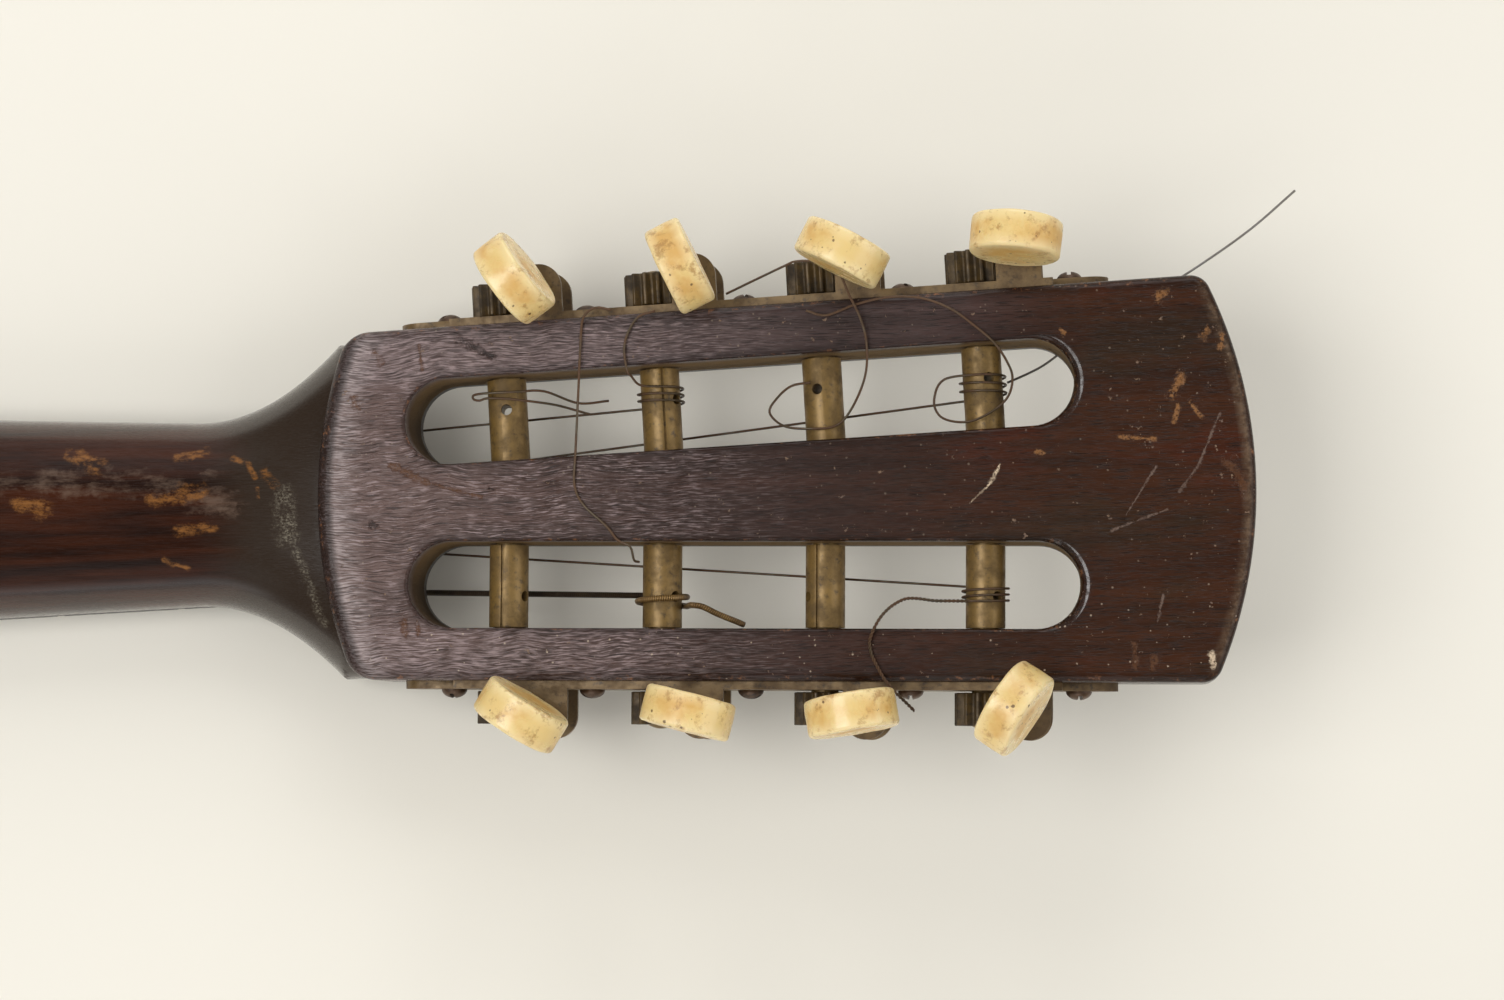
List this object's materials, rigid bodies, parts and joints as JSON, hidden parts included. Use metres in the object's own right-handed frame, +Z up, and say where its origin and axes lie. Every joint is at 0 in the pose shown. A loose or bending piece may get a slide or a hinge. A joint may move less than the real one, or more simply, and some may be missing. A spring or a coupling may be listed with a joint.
{
  "type": "mandolin",
  "caption": "Flat-back mandolin lying face down, slotted head with worm-and-gear tuners, bone buttons, rounded neck, loose broken strings on the rollers.",
  "frame": {"origin": "middle of the length and width, at the height of the nut and bridge crowns that it rests on, face down", "axes": "+X along the strings to the tip of the head, +Z up to the back of the instrument"},
  "size_m": [0.5945, 0.21, 0.0688],
  "materials": {
    "head_wood": "dark stained hardwood, satin, worn",
    "dark_veneer": "dark veneer",
    "neck_wood": "ebonised hardwood, glossy, worn",
    "dark_board": "ebonised hardwood",
    "brass_wire": "drawn wire",
    "bone": "yellowed bone, soft polish",
    "spruce": "aged spruce",
    "pale_binding": "cream binding",
    "body_wood": "varnished hardwood",
    "inner_wood": "bare wood",
    "aged_brass": "stamped brass, dull and brown",
    "roller_brass": "rolled brass, brown and scratched",
    "gear_brass": "cut brass, nearly black",
    "worm_steel": "oxidised steel",
    "string_steel": "rusty string wire"
  },
  "bodies": {
    "instrument": {"head_block": "head_wood", "head_veneer": "dark_veneer", "neck": "neck_wood", "fingerboard": "dark_board", "frets": "brass_wire", "nut": "bone", "soundboard": "spruce", "rosette": "dark_veneer", "soundboard_binding": "pale_binding", "back": "body_wood", "back_binding": "pale_binding", "ribs": "body_wood", "linings": "inner_wood", "neck_block": "inner_wood", "tail_block": "inner_wood", "soundboard_braces": "spruce", "back_braces": "spruce", "bridge": "dark_board", "bridge_saddle": "bone", "tailpiece": "aged_brass", "tailpiece_screws": "aged_brass", "tuner_plate_upper": "aged_brass", "tuner_plate_lower": "aged_brass", "plate_screws": "aged_brass", "strings": "string_steel", "loose_wires": "string_steel"},
    "peg_upper_1": {"worm_upper_1": "worm_steel", "button_upper_1": "bone"},
    "shaft_upper_1": {"roller_upper_1": "roller_brass", "gear_upper_1": "gear_brass"},
    "peg_upper_2": {"worm_upper_2": "worm_steel", "button_upper_2": "bone"},
    "shaft_upper_2": {"roller_upper_2": "roller_brass", "gear_upper_2": "gear_brass"},
    "peg_upper_3": {"worm_upper_3": "worm_steel", "button_upper_3": "bone"},
    "shaft_upper_3": {"roller_upper_3": "roller_brass", "gear_upper_3": "gear_brass"},
    "peg_upper_4": {"worm_upper_4": "worm_steel", "button_upper_4": "bone"},
    "shaft_upper_4": {"roller_upper_4": "roller_brass", "gear_upper_4": "gear_brass"},
    "peg_lower_1": {"worm_lower_1": "worm_steel", "button_lower_1": "bone"},
    "shaft_lower_1": {"roller_lower_1": "roller_brass", "gear_lower_1": "gear_brass"},
    "peg_lower_2": {"worm_lower_2": "worm_steel", "button_lower_2": "bone"},
    "shaft_lower_2": {"roller_lower_2": "roller_brass", "gear_lower_2": "gear_brass"},
    "peg_lower_3": {"worm_lower_3": "worm_steel", "button_lower_3": "bone"},
    "shaft_lower_3": {"roller_lower_3": "roller_brass", "gear_lower_3": "gear_brass"},
    "peg_lower_4": {"worm_lower_4": "worm_steel", "button_lower_4": "bone"},
    "shaft_lower_4": {"roller_lower_4": "roller_brass", "gear_lower_4": "gear_brass"}
  },
  "joints": [
    {"name": "button_upper_1_turn", "type": "hinge", "parent": "instrument", "child": "peg_upper_1", "pos_m": [0.18886, 0.03153, 0.01844], "axis": [-0.1736, 0, 0.9848], "continuous": true},
    {"name": "roller_upper_1_turn", "type": "hinge", "parent": "instrument", "child": "shaft_upper_1", "pos_m": [0.18393, 0.01227, 0.01757], "axis": [-0.0309, 0.9995, -0.0055], "continuous": true},
    {"name": "button_upper_2_turn", "type": "hinge", "parent": "instrument", "child": "peg_upper_2", "pos_m": [0.2114, 0.03225, 0.02241], "axis": [-0.1736, 0, 0.9848], "continuous": true},
    {"name": "roller_upper_2_turn", "type": "hinge", "parent": "instrument", "child": "shaft_upper_2", "pos_m": [0.20648, 0.01299, 0.02154], "axis": [-0.0309, 0.9995, -0.0055], "continuous": true},
    {"name": "button_upper_3_turn", "type": "hinge", "parent": "instrument", "child": "peg_upper_3", "pos_m": [0.23512, 0.03301, 0.02659], "axis": [-0.1736, 0, 0.9848], "continuous": true},
    {"name": "roller_upper_3_turn", "type": "hinge", "parent": "instrument", "child": "shaft_upper_3", "pos_m": [0.2302, 0.01374, 0.02573], "axis": [-0.0309, 0.9995, -0.0055], "continuous": true},
    {"name": "button_upper_4_turn", "type": "hinge", "parent": "instrument", "child": "peg_upper_4", "pos_m": [0.25825, 0.03375, 0.03067], "axis": [-0.1736, 0, 0.9848], "continuous": true},
    {"name": "roller_upper_4_turn", "type": "hinge", "parent": "instrument", "child": "shaft_upper_4", "pos_m": [0.25333, 0.01448, 0.0298], "axis": [-0.0309, 0.9995, -0.0055], "continuous": true},
    {"name": "button_lower_1_turn", "type": "hinge", "parent": "instrument", "child": "peg_lower_1", "pos_m": [0.18836, -0.03152, 0.01835], "axis": [-0.1736, 0, 0.9848], "continuous": true},
    {"name": "roller_lower_1_turn", "type": "hinge", "parent": "instrument", "child": "shaft_lower_1", "pos_m": [0.18344, -0.01225, 0.01748], "axis": [-0.0309, -0.9995, -0.0055], "continuous": true},
    {"name": "button_lower_2_turn", "type": "hinge", "parent": "instrument", "child": "peg_lower_2", "pos_m": [0.21091, -0.03224, 0.02232], "axis": [-0.1736, 0, 0.9848], "continuous": true},
    {"name": "roller_lower_2_turn", "type": "hinge", "parent": "instrument", "child": "shaft_lower_2", "pos_m": [0.20598, -0.01297, 0.02146], "axis": [-0.0309, -0.9995, -0.0055], "continuous": true},
    {"name": "button_lower_3_turn", "type": "hinge", "parent": "instrument", "child": "peg_lower_3", "pos_m": [0.23463, -0.03299, 0.02651], "axis": [-0.1736, 0, 0.9848], "continuous": true},
    {"name": "roller_lower_3_turn", "type": "hinge", "parent": "instrument", "child": "shaft_lower_3", "pos_m": [0.22971, -0.01373, 0.02564], "axis": [-0.0309, -0.9995, -0.0055], "continuous": true},
    {"name": "button_lower_4_turn", "type": "hinge", "parent": "instrument", "child": "peg_lower_4", "pos_m": [0.25776, -0.03373, 0.03059], "axis": [-0.1736, 0, 0.9848], "continuous": true},
    {"name": "roller_lower_4_turn", "type": "hinge", "parent": "instrument", "child": "shaft_lower_4", "pos_m": [0.25284, -0.01447, 0.02972], "axis": [-0.0309, -0.9995, -0.0055], "continuous": true}
  ],
  "couplings": [
    {"joint": "roller_upper_1_turn", "follows": "button_upper_1_turn", "ratio": 0.071429},
    {"joint": "roller_upper_2_turn", "follows": "button_upper_2_turn", "ratio": 0.071429},
    {"joint": "roller_upper_3_turn", "follows": "button_upper_3_turn", "ratio": 0.071429},
    {"joint": "roller_upper_4_turn", "follows": "button_upper_4_turn", "ratio": 0.071429},
    {"joint": "roller_lower_1_turn", "follows": "button_lower_1_turn", "ratio": 0.071429},
    {"joint": "roller_lower_2_turn", "follows": "button_lower_2_turn", "ratio": 0.071429},
    {"joint": "roller_lower_3_turn", "follows": "button_lower_3_turn", "ratio": 0.071429},
    {"joint": "roller_lower_4_turn", "follows": "button_lower_4_turn", "ratio": 0.071429}
  ]
}
